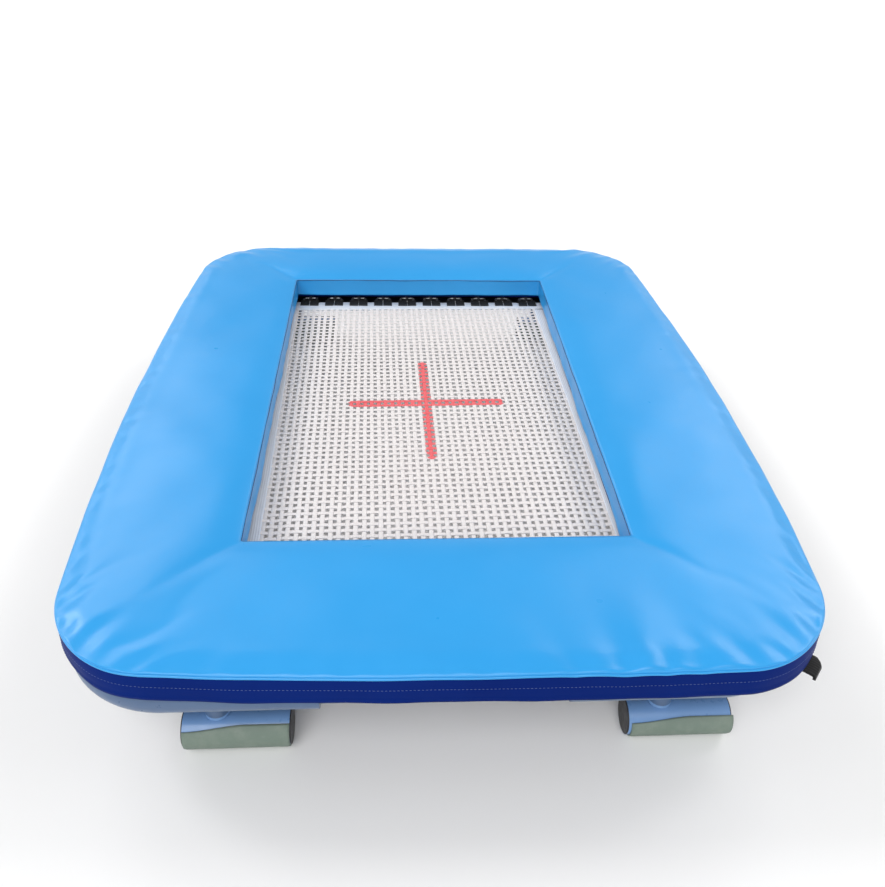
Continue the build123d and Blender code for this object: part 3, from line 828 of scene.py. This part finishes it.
def ribbon(path, across, up, width, thickness, edge=0.18):
    """A flat strap with thin edges along path: its vertices, faces and UV; across may be one vector."""
    inner = 0.5 * (1 - edge)
    section = [(-0.5, 0.0), (-inner, 0.5), (inner, 0.5), (0.5, 0.0), (inner, -0.5), (-inner, -0.5)]
    path, across, up = map(np.asarray, (path, across, up))
    width = np.broadcast_to(width, len(path))[:, None]
    rings = np.stack([path + across * width * a + up * (h * thickness) for a, h in section], axis=1)
    steps = np.linalg.norm(np.diff(path, axis=0), axis=1)
    along = np.concatenate([[0], np.cumsum(steps)])
    v = np.array([a + 0.5 for a, _ in section])
    uv = np.stack(np.broadcast_arrays(along[:, None], v[None, :]), axis=2)
    count = len(path)
    faces = grid_faces(count, 6, False, True).tolist()
    faces.append([5, 4, 3, 2, 1, 0])
    faces.append([(count - 1) * 6 + k for k in range(6)])
    return rings.reshape(-1, 3), faces, uv.reshape(-1, 2)


class Bundle:
    """Collects ribbons or tubes into one mesh."""

    def __init__(self):
        self.vertices, self.faces, self.uv, self.count = [], [], [], 0

    def add(self, vertices, faces, uv):
        self.vertices.append(vertices)
        self.uv.append(uv)
        self.faces.extend([[i + self.count for i in f] for f in faces])
        self.count += len(vertices)

    def piece(self, name, material):
        piece = new_piece(name, np.concatenate(self.vertices), self.faces, material)
        lay_uv(piece, np.concatenate(self.uv))
        piece.data.update()
        return piece


def turned(x, y):
    """The bed is woven and hung about a degree out of square with the window."""
    return x - bed_turn * (y - middle_y), y + bed_turn * x


def make_bed():
    web_x, web_y = web_high.x - web_low.x, web_high.y - web_low.y
    long_count = round(web_x / strap_gap_x) + 1
    cross_count = round(web_y / strap_gap_y) + 2
    xs = (np.arange(long_count) - (long_count - 1) / 2) * strap_gap_x
    ys = middle_y + (np.arange(cross_count) - (cross_count - 1) / 2) * strap_gap_y
    random = np.random.RandomState(5)
    xs = xs + np.where(np.arange(long_count) % 2 == 0, 0.28, -0.28) * MM
    bed = Bundle()
    per = 4
    rim = 6 * MM
    z_wave = bed_z + 0.9 * MM

    def strap(fixed, crossings, index, runs_along_y):
        steps = np.arange((len(crossings) - 1) * per + 1) / per
        travel = np.interp(steps, np.arange(len(crossings)), crossings)
        sway = ripple(travel, 100 + index + (500 if runs_along_y else 0), [(0.19, 0.28), (0.061, 0.16)])
        parity = (index + (0 if runs_along_y else 1)) % 2
        wave = weave_rise * np.cos(math.pi * (steps + parity))
        travel[0] -= rim
        travel[-1] += rim
        across_value = fixed + sway
        x_here = across_value if runs_along_y else travel
        valley = 1.7 * MM * near(np.abs(x_here), web_high.x - 17 * MM, 15 * MM)
        x, y = turned(across_value, travel) if runs_along_y else turned(travel, across_value)
        path = np.column_stack([x, y, z_wave + wave - valley])
        twist = 0.05 * np.sin(math.pi * steps + index)
        across = np.zeros((len(path), 3))
        across[:, 0 if runs_along_y else 1] = np.cos(twist)
        across[:, 2] = np.sin(twist)
        width = strap_width * (1 + random.uniform(-0.05, 0.05))
        bed.add(*ribbon(path, across, UP, width, strap_thick))

    for i, x in enumerate(xs):
        strap(x, ys, i, True)
    for j, y in enumerate(ys):
        strap(y, xs, j, False)
    web = bed.piece("bed_straps", bed_webbing)
    belongs(web, "bed", "white_webbing", "bed_web")

    hem_pieces = make_hem()


def make_hem():
    """A folded tape over each edge of the bed, sewn with four rows; its inner edge follows the straps."""
    tapes = Bundle()
    half_x = hem_high.x
    half_y = (hem_high.y - hem_low.y) / 2
    thickness = hem_high.z - hem_low.z
    stitch_middles, stitch_directions = [], []
    for side, along_y in ((-1, True), (1, True), (-1, False), (1, False)):
        reach = half_y - hem_width if along_y else half_x
        travel = np.append(np.arange(-reach, reach, 6 * MM), reach)
        seed = 70 + side + (10 if along_y else 0)
        lift = ripple(travel, seed, [(0.11, 0.35), (0.037, 0.22)])
        sway = ripple(travel, seed + 5, [(0.3, 0.5), (0.08, 0.3)])
        outer = side * (half_x if along_y else half_y)
        inner = outer - side * hem_width + sway
        inner = inner - bed_turn * travel if along_y else inner + bed_turn * travel
        middle, width = (inner + outer) / 2, np.abs(outer - inner)
        rise = lift + (0.0 if along_y else 0.2 * MM)
        beside = np.column_stack([middle, middle_y + travel] if along_y else [travel, middle_y + middle])
        path = np.column_stack([beside, bed_z + rise])
        across, direction = (1.0, 0.0, 0.0), (0.0, 1.0, 0.0)
        if not along_y:
            across, direction = direction, across
        tapes.add(*ribbon(path, across, UP, width, thickness, 0.1))
        places = np.arange(-reach + 6 * MM, reach - 6 * MM, 5.5 * MM)
        z = np.interp(places, travel, path[:, 2]) + thickness / 2 + 0.05 * MM
        for row in (0.08, 0.16, 0.55, 0.92):
            line = np.interp(places, travel, inner + (outer - inner) * row)
            xy = [line, middle_y + places] if along_y else [places, middle_y + line]
            stitch_middles.append(np.column_stack([*xy, z]))
            stitch_directions.append(np.tile(direction, (len(places), 1)))
    hem = tapes.piece("bed_hem_tape", hem_webbing)
    belongs(hem, "bed", "white_webbing", "bed_hem")
    middles, directions = map(np.concatenate, (stitch_middles, stitch_directions))
    stitches = capsules(
        "bed_hem_stitches", middles, directions, UP, 3.8 * MM, 0.8 * MM, 0.5 * MM, white_thread
    )
    belongs(stitches, "bed", "white_webbing")
    return [hem, stitches]


def edge_places():
    """(point on the bed's edge, direction out of the bed) for each ring, read from the ring tabs."""
    co = vertex_places(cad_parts["ring_tabs"])
    found = []
    for along, across, outward in ((0, 1, (0, -1)), (0, 1, (0, 1)), (1, 0, (-1, 0)), (1, 0, (1, 0))):
        sign = outward[across]
        edge = (hem_low if sign < 0 else hem_high)[across]
        beyond = sign * (co[:, across] - edge) > -0.5 * MM
        for middle, extent in clusters(co[beyond, along], 20 * MM):
            place = np.zeros(2)
            place[along], place[across] = middle, edge
            if extent < 30 * MM:
                found.append((place, np.array(outward, float)))
    return found


tab_reach = 8 * MM
tab_width = 23 * MM


def make_tabs():
    """A doubled tape round the inner bar of each ring, sewn above and below the hem."""
    tabs = Bundle()
    middles, directions = [], []
    nose = 3.6 * MM
    on_hem = 22 * MM
    hem_half = (hem_high.z - hem_low.z) / 2 + 0.9 * MM
    for place, outward in edge_places():
        over = [(out, hem_half) for out in (-on_hem, -on_hem * 0.5, -1.0 * MM)]
        over.append((3 * MM, hem_half + 0.4 * MM))
        turns = np.radians((70, 35, 0, -35, -70))
        round_bar = [(tab_reach + nose * math.cos(a), nose * math.sin(a)) for a in turns]
        profile = np.array(over + round_bar + [(reach, -rise) for reach, rise in reversed(over)])
        path = np.column_stack([place + profile[:, :1] * outward, bed_z + profile[:, 1]])
        tangent = path_directions(path)
        side = np.array([-outward[1], outward[0], 0.0])
        up = np.cross(tangent, side)
        tabs.add(*ribbon(path, side, up, tab_width, 1.1 * MM, 0.08))
        for back in (19, 13, 7, 3.5):
            for k in range(-2, 3):
                centre = place - outward * back * MM + side[:2] * k * 4.2 * MM
                middles.append((*centre, bed_z + hem_half + 0.65 * MM))
                directions.append(side)
    piece = tabs.piece("bed_ring_tabs", black_webbing)
    belongs(piece, "bed", "black_webbing", "ring_tabs")
    stitches = capsules(
        "bed_tab_stitches", middles, directions, UP, 3.2 * MM, 0.8 * MM, 0.5 * MM, dark_thread
    )
    belongs(stitches, "bed", "black_webbing")


def make_painted_shade_flap():
    """Painted shade: a dark strip that hangs from the bed's edge under the rings and darkens the gap round
    the bed, which holds only shade.
    """
    half_x, half_y = hem_high.x, (hem_high.y - hem_low.y) / 2
    corner = 12 * MM
    length = outline_length(half_x, half_y, corner)
    distance = np.linspace(0, length, 900, endpoint=False)
    points, normals = outline(half_x, half_y, corner, middle_y, distance)
    wave = closed_ripple(distance, length, 91, [(0.21, 0.8), (0.083, 0.5)])
    line = [(-10, -2.2), (-4, -2.5), (2, -5.0), (8, -10.0), (15, -14.2), (48, -15.2), (84, -16.0)]
    line = np.array(line) * MM
    wall = 0.45 * MM
    sections = []
    for lift, order in ((wall, line), (-wall, line[::-1])):
        for out, drop in order:
            share = max(0.0, out / line[-1, 0])
            sections.append((out, bed_z + drop + lift + wave * share))
    flap = swept_ring("bed_painted_shade_flap", points, normals, sections, painted_shade_cloth)
    belongs(flap, "bed", "black_webbing")


make_bed()
make_tabs()
make_painted_shade_flap()

# Elastic cables: closed loops that stretch from the lacing rods to the bed's rings

cable_radius = 4 * MM
loop_radius = 8.3 * MM


def make_cables(name, node, along, across, sign):
    """One group of upright loops; across is the axis that they reach along, sign its way out of the bed."""
    low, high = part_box(node)
    near_end = (low if sign > 0 else high)[across]
    far_end = (high if sign > 0 else low)[across]
    ring_bar = near_end + sign * (loop_radius + cable_radius)
    rod = far_end - sign * (loop_radius + cable_radius)
    count = 10 if along == 0 else 15
    places = np.linspace(low[along] + cable_radius, high[along] - cable_radius, count)
    middle_z = (low.z + high.z) / 2
    span = abs(rod - ring_bar)
    bundle = Bundle()
    random = np.random.RandomState(200 + ord(name[0]))
    for place in places:
        run = np.linspace(0, span, 14)
        bends = np.linspace(0, math.pi, 9)[1:-1]
        slack = random.uniform(0.2, 0.9) * MM
        bow = slack * np.sin(math.pi * run / span)
        upper = [(u, loop_radius - b) for u, b in zip(run, bow)]
        lower = [(u, -loop_radius - b) for u, b in zip(run[::-1], bow[::-1])]
        far = [(span + loop_radius * math.sin(a), loop_radius * math.cos(a)) for a in bends]
        close = [(-loop_radius * math.sin(a), -loop_radius * math.cos(a)) for a in bends]
        loop = np.array(upper + far + lower + close)
        tangent = np.roll(loop, -1, axis=0) - np.roll(loop, 1, axis=0)
        tangent /= np.linalg.norm(tangent, axis=1, keepdims=True)
        normal = np.column_stack([tangent[:, 1], -tangent[:, 0]])
        angle = np.arange(10) * 2 * math.pi / 10
        lean = random.uniform(-0.4, 0.4) * MM
        u = loop[:, None, 0] + cable_radius * np.cos(angle) * normal[:, None, 0]
        z = loop[:, None, 1] + cable_radius * np.cos(angle) * normal[:, None, 1]
        lean_here = lean * np.sin(math.pi * np.clip(loop[:, :1] / span, 0, 1))
        side = cable_radius * np.sin(angle)[None, :] + lean_here
        vertices = np.zeros((len(loop), 10, 3))
        vertices[:, :, across] = ring_bar + sign * u
        vertices[:, :, along] = place + side
        vertices[:, :, 2] = middle_z + z
        steps = np.linalg.norm(loop - np.roll(loop, 1, axis=0), axis=1)
        travelled = np.cumsum(steps)
        uv = np.stack(np.broadcast_arrays(travelled[:, None], angle[None, :] / (2 * math.pi)), axis=2)
        bundle.add(vertices.reshape(-1, 3), grid_faces(len(loop), 10, True, True).tolist(), uv.reshape(-1, 2))
    piece = bundle.piece(name, black_cable)
    face_out(piece)
    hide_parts(node)
    start, end = [0.0, 0.0, middle_z], [0.0, 0.0, middle_z]
    start[across] = rod - sign * loop_radius
    end[across] = ring_bar + sign * loop_radius
    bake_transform(piece)


for place, along, sign in (("front", 0, -1), ("rear", 0, 1), ("left", 1, -1), ("right", 1, 1)):
    make_cables(f"{place}_elastic_cables", f"{place}_cables", along, 1 - along, sign)

# Straps that tie the padding to the rails

tie_width = 37 * MM


def tie_strap(bundle, middle, outward, tube):
    """A strap that hangs from the underside, passes under the tube and goes back up."""
    radius = tube + 1.1 * MM
    rise = base_z - middle[2] - 0.5 * MM
    profile = [(radius, rise), (radius, rise * 0.6), (radius, rise * 0.25)]
    profile += [(radius * math.cos(a), radius * math.sin(a)) for a in np.radians(np.arange(0, -181, -15))]
    profile += [(-radius, rise * 0.25), (-radius, rise * 0.6), (-radius, rise)]
    profile = np.array(profile)
    side = np.array([-outward[1], outward[0], 0.0])
    out3 = np.array([outward[0], outward[1], 0.0])
    path = middle + profile[:, :1] * out3 + profile[:, 1:] * UP
    bundle.add(*ribbon(path, side, np.cross(side, path_directions(path)), tie_width, 1.3 * MM, 0.06))


def make_ties():
    straight = Bundle()
    end_y = rear_rail_end - tube_radius
    end_tube_radius = 17 * MM
    side_x = side_rail_high.x - tube_radius
    strap_co = vertex_places(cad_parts["pad_straps"])
    at_ends = np.abs(strap_co[:, 0]) < side_x - 0.06
    for x, _ in clusters(strap_co[at_ends, 0], 30 * MM):
        tie_strap(straight, np.array([x, end_y, rail_z]), (0.0, 1.0), end_tube_radius)
    at_sides = np.abs(strap_co[:, 0]) > side_x - 0.04
    for y, _ in clusters(strap_co[at_sides, 1], 30 * MM):
        for side in (-1, 1):
            tie_strap(straight, np.array([side * side_x, y, rail_z]), (float(side), 0.0), tube_radius)
    belongs(straight.piece("pad_tie_straps", black_webbing), "frame", "black_webbing", "pad_straps")

    corner = Bundle()
    bend = end_y - side_rail_high.y
    for (side, end), turn in zip(CORNERS.values(), (200, 324, 135, 45)):
        angle = math.radians(turn)
        out = np.array([math.cos(angle), math.sin(angle)])
        middle = np.array([side * (side_x - bend), end * side_rail_high.y]) + out * bend
        tie_strap(corner, np.array([*middle, rail_z]), tuple(out), tube_radius)
    belongs(corner.piece("pad_corner_straps", black_webbing), "frame", "black_webbing", "corner_straps")


def make_strap_tail():
    """The loose end at the front right: two plies that come out level, then fold down at the end."""
    low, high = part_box("strap_tail")
    turn = math.radians(-36)
    out = np.array([math.cos(turn), math.sin(turn), 0.0])
    side = np.array([-math.sin(turn), math.cos(turn), 0.0])
    centre = np.array((low + high) / 2)
    profile = [(-19, 3.5), (-8, 4.4), (4, 4.6), (12, 4.2), (18, 3.4), (22, 1.6), (24, -1.6), (25, -6.0)]
    profile = np.array(profile) * MM
    share = np.array([-0.5, -0.46, -0.25, 0.0, 0.22, 0.36, 0.5])
    vertices = []
    for along, (reach, rise) in enumerate(profile):
        t = along / (len(profile) - 1)
        for s in share:
            clip = 1 - 0.45 * max(0.0, (s - 0.3) / 0.2) * t
            skew = 3.5 * MM * t * s - 2.0 * MM * t
            buckle = 1.3 * MM * math.sin(5.0 * s + 2.2 * t) * t
            vertices.append(centre + out * (reach * (clip if reach > 0 else 1) + skew) + side * s * tie_width
                            + UP * (rise + buckle + 2.5 * MM * s * t))
    piece = new_piece("pad_strap_tail", vertices, grid_faces(len(profile), len(share)), black_webbing)
    co = vertex_places(piece) - centre
    lay_uv(piece, np.column_stack([co @ out, co @ side / tie_width + 0.5]))
    face_up(piece)
    thicken(piece, 4.6 * MM)
    bevel = piece.modifiers.new("bevel", "BEVEL")
    bevel.width = 0.5 * MM
    bevel.segments = 2
    bake_modifiers(piece)
    belongs(piece, "frame", "black_webbing", "strap_tail")


make_ties()
make_strap_tail()

# Feet: slit rubber sleeves on the round tubes


def make_sleeve(corner, side, end):
    low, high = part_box(f"foot_sleeve_{corner}")
    tube_low, tube_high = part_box(f"foot_tube_{corner}")
    centre_y = (tube_low.y + tube_high.y) / 2
    centre_z = (tube_low.z + tube_high.z) / 2
    inner_radius = (tube_high.z - tube_low.z) / 2 + 0.15 * MM
    outer_radius = (high.y - low.y) / 2
    half = (high.x - low.x) / 2
    middle_x = (high.x + low.x) / 2
    lengths = np.linspace(-1, 1, 41)
    steps = 48
    vertices = []
    fixed_lip, lip_low, lip_climb = 33, 39 if side < 0 else 28, 16.5
    for t in lengths:
        rise = min(1.0, (t + 1) / 1.2)
        lip = lip_low + lip_climb * rise * rise * (3 - 2 * rise)
        start, stop = math.radians(90 + fixed_lip), math.radians(360 + lip)
        angle = np.linspace(start, stop, steps)
        round_end = 0.8 * MM * max(0.0, abs(t) - 0.95) / 0.05
        from_lip = np.minimum(angle - start, stop - angle)
        outer = outer_radius - round_end - 0.8 * MM * np.exp(-from_lip / 0.12)
        outer = outer + 0.15 * MM * np.sin(5 * angle + 3 * t) * (1 - abs(t))
        ring_angle = np.concatenate([angle, angle[::-1]])
        ring_radius = np.concatenate([outer, np.full(steps, inner_radius)])
        y = centre_y + end * ring_radius * np.cos(ring_angle)
        z = np.maximum(centre_z + ring_radius * np.sin(ring_angle), 0.0)
        inner_floor = centre_z - inner_radius
        z[steps:] = np.maximum(z[steps:], inner_floor)
        vertices.append(np.column_stack([np.full(2 * steps, middle_x + t * half), y, z]))
    faces = grid_faces(len(lengths), 2 * steps, False, True).tolist()
    for ring, flip in ((0, True), (len(lengths) - 1, False)):
        first = ring * 2 * steps
        for k in range(steps - 1):
            quad = [first + k, first + k + 1, first + 2 * steps - 2 - k, first + 2 * steps - 1 - k]
            faces.append(quad if flip else quad[::-1])
    sleeve = new_piece(f"sleeve_{corner}", np.concatenate(vertices), faces, green_rubber)
    face_out(sleeve)
    post_low, post_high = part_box(f"leg_post_{corner}")
    notch_place = ((post_low.x + post_high.x) / 2, (post_low.y + post_high.y) / 2, centre_z + 30 * MM)
    bpy.ops.mesh.primitive_cylinder_add(vertices=48, radius=16 * MM, depth=60 * MM, location=notch_place)
    cutter = bpy.context.object
    cut = sleeve.modifiers.new("notch", "BOOLEAN")
    cut.operation = "DIFFERENCE"
    cut.object = cutter
    cut.solver = "EXACT"
    bake_modifiers(sleeve)
    bpy.data.objects.remove(cutter)
    belongs(sleeve, f"leg_{corner}", "green_rubber", f"foot_sleeve_{corner}")


for corner, (side, end) in CORNERS.items():
    make_sleeve(corner, side, end)

# Materials of the CAD pieces that stay


def finish_nodes(material, *starts):
    for name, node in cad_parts.items():
        if name.startswith(starts):
            node.data.materials.clear()
            node.data.materials.append(material)


# Rails and their fittings take the darkened enamel: painted shade.
finish_nodes(rail_painted_shade_blue, "front_rail", "rear_rail", "left_rail", "right_rail", "corner_bend", "lacing_tabs",
             "leg_sockets", "leg_cheeks", "clamp_bosses")
finish_nodes(steel_blue, "leg_post", "foot_tube")
finish_nodes(plated, "lacing_rods", "bed_rings", "clamp_screw")
finish_nodes(black_plastic, "foot_plugs", "clamp_knob")

# Studio: pale floor, soft lights, camera


def make_floor():
    size = 14.0
    n = Nodes("pale_floor_look", (0.86, 0.86, 0.86), 0.7)
    n.color(n.mix(n.noise(2.0, 3.0), (0.85, 0.85, 0.85), (0.88, 0.88, 0.88)))
    n.bump(n.noise(400.0, 2.0), 0.03, 0.0005)
    corners = [(-size, -size, 0), (size, -size, 0), (size, size, 0), (-size, size, 0)]
    floor = new_piece("floor", corners, [(0, 1, 2, 3)], n.material, smooth=False)


def make_camera():
    """The photograph's view: from the front, a little left of the middle, looking down."""
    place = Vector((-0.0745, -1.4785, 1.1425))
    pitch, yaw, roll = math.radians(35.284), math.radians(4.266), math.radians(-2.019)
    forward = Vector((math.sin(yaw) * math.cos(pitch), math.cos(yaw) * math.cos(pitch), -math.sin(pitch)))
    level = Vector((math.cos(yaw), -math.sin(yaw), 0))
    down = forward.cross(level)
    right = level * math.cos(roll) + down * math.sin(roll)
    below = down * math.cos(roll) - level * math.sin(roll)
    data = bpy.data.cameras.new("camera")
    data.sensor_width = 36
    data.lens = 33.53
    data.clip_start = 0.05
    camera = add_object("camera", data)
    turn = Matrix((right, -below, -forward)).transposed()
    camera.matrix_world = Matrix.Translation(place) @ turn.to_4x4()
    bpy.context.scene.camera = camera


def soft_sun(name, azimuth, elevation, strength, spread):
    """A broad, distant light: azimuth is clockwise from the rear (+Y), both angles in degrees."""
    data = bpy.data.lights.new(name, "SUN")
    data.energy = strength
    data.angle = math.radians(spread)
    light = add_object(name, data)
    turn, rise = math.radians(azimuth), math.radians(elevation)
    towards = Vector((math.sin(turn) * math.cos(rise), math.cos(turn) * math.cos(rise), math.sin(rise)))
    light.rotation_euler = (-towards).to_track_quat("-Z", "Y").to_euler()


def make_studio():
    world = bpy.data.worlds.new("studio")
    world.use_nodes = True
    world.node_tree.nodes["Background"].inputs["Color"].default_value = (1, 1, 1, 1)
    tree = world.node_tree
    height = tree.nodes.new("ShaderNodeSeparateXYZ")
    tree.links.new(tree.nodes.new("ShaderNodeTexCoord").outputs["Generated"], height.inputs[0])
    fade = tree.nodes.new("ShaderNodeMapRange")
    for key, number in (("From Min", 0.12), ("From Max", 0.36), ("To Min", 0.92), ("To Max", 0.22)):
        fade.inputs[key].default_value = number
    tree.links.new(height.outputs["Z"], fade.inputs["Value"])
    tree.links.new(fade.outputs["Result"], tree.nodes["Background"].inputs["Strength"])
    bpy.context.scene.world = world
    bpy.context.scene.view_settings.view_transform = "Standard"
    for name, azimuth, elevation, strength, spread in (
        ("front_sun", 196, 45, 2.2, 50),
        ("left_key", -80, 38, 0.4, 40),
        ("right_key", 85, 38, 0.4, 40),
        ("rear_left_gloss", -30, 35, 0.5, 26),
        ("rear_right_gloss", 36, 35, 0.5, 26),
        ("left_gloss", -58, 40, 0.6, 14),
        ("right_gloss", 62, 40, 0.45, 16),
    ):
        soft_sun(name, azimuth, elevation, strength, spread)


make_floor()
make_camera()
make_studio()
